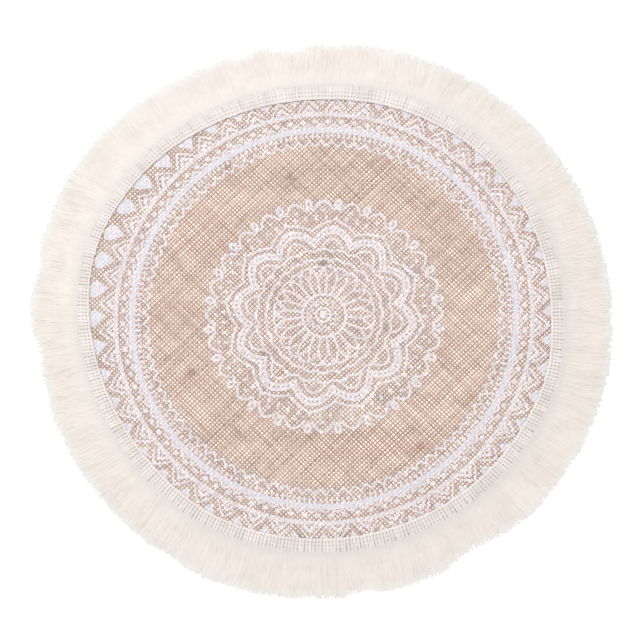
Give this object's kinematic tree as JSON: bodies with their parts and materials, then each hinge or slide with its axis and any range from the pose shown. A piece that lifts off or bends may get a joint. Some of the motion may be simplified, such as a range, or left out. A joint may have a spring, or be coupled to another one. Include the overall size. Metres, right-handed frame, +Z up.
{
  "type": "jute placemat",
  "caption": "Round flat placemat of open jute hessian printed with a white mandala, with a cream cut fringe sewn round its edge.",
  "frame": {"origin": "middle of the whole outline, on the surface that the mat lies on", "axes": "+Z up out of the printed face, +Y to the top of the print as pictured, +X to its right"},
  "size_m": [0.3788, 0.3704, 0.0025],
  "materials": {
    "printed_jute": "open plain weave of natural jute, printed in opaque white",
    "cream_fringe": "soft matt yarn, woven heading and loose cut strands"
  },
  "bodies": {
    "root": {"jute_disc": "printed_jute", "fringe_trim": "cream_fringe"}
  },
  "joints": []
}
